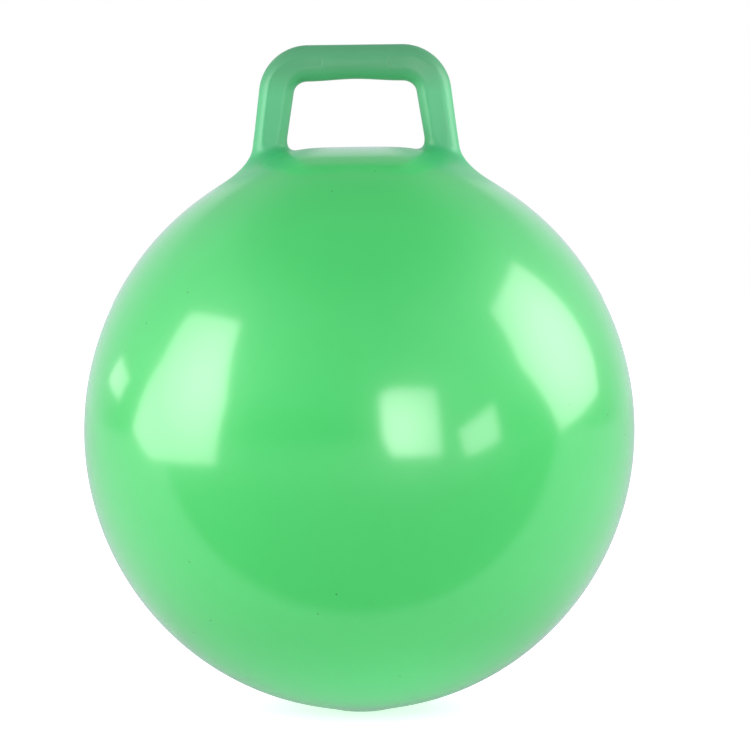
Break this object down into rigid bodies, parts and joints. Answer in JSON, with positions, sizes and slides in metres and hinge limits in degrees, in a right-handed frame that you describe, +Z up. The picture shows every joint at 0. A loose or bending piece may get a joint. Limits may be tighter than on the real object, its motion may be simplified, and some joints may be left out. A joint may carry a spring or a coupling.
{
  "type": "hopper ball",
  "caption": "Inflated soft ball to sit on and bounce, with a fluted loop handle moulded on top and a push-in plug valve in its flat foot.",
  "frame": {"origin": "on the floor, at the middle of the flat foot under the ball", "axes": "+Z up through the handle, +X along the grip, -Y to the front that the picture shows"},
  "size_m": [0.4499, 0.4498, 0.5475],
  "materials": {
    "skin": "glossy soft PVC, light green",
    "grip": "satin soft PVC, darker green",
    "seat": "soft translucent PVC",
    "plug": "waxy white polyethylene"
  },
  "bodies": {
    "ball": {"ball_skin": "skin", "handle_base": "skin", "valve_seat": "seat"},
    "handle": {"handle_loop": "grip"},
    "plug": {"valve_plug": "plug"}
  },
  "joints": [
    {"name": "handle_rock", "type": "hinge", "parent": "ball", "child": "handle", "pos_m": [0, 0, 0.451], "axis": [1, 0, 0], "range_deg": [-15, 15], "stiffness_Nm_per_rad": 8, "deforming": ["handle_base"]},
    {"name": "plug_pull", "type": "slide", "parent": "ball", "child": "plug", "axis": [0, 0, -1], "range_m": [0, 0.036]}
  ]
}
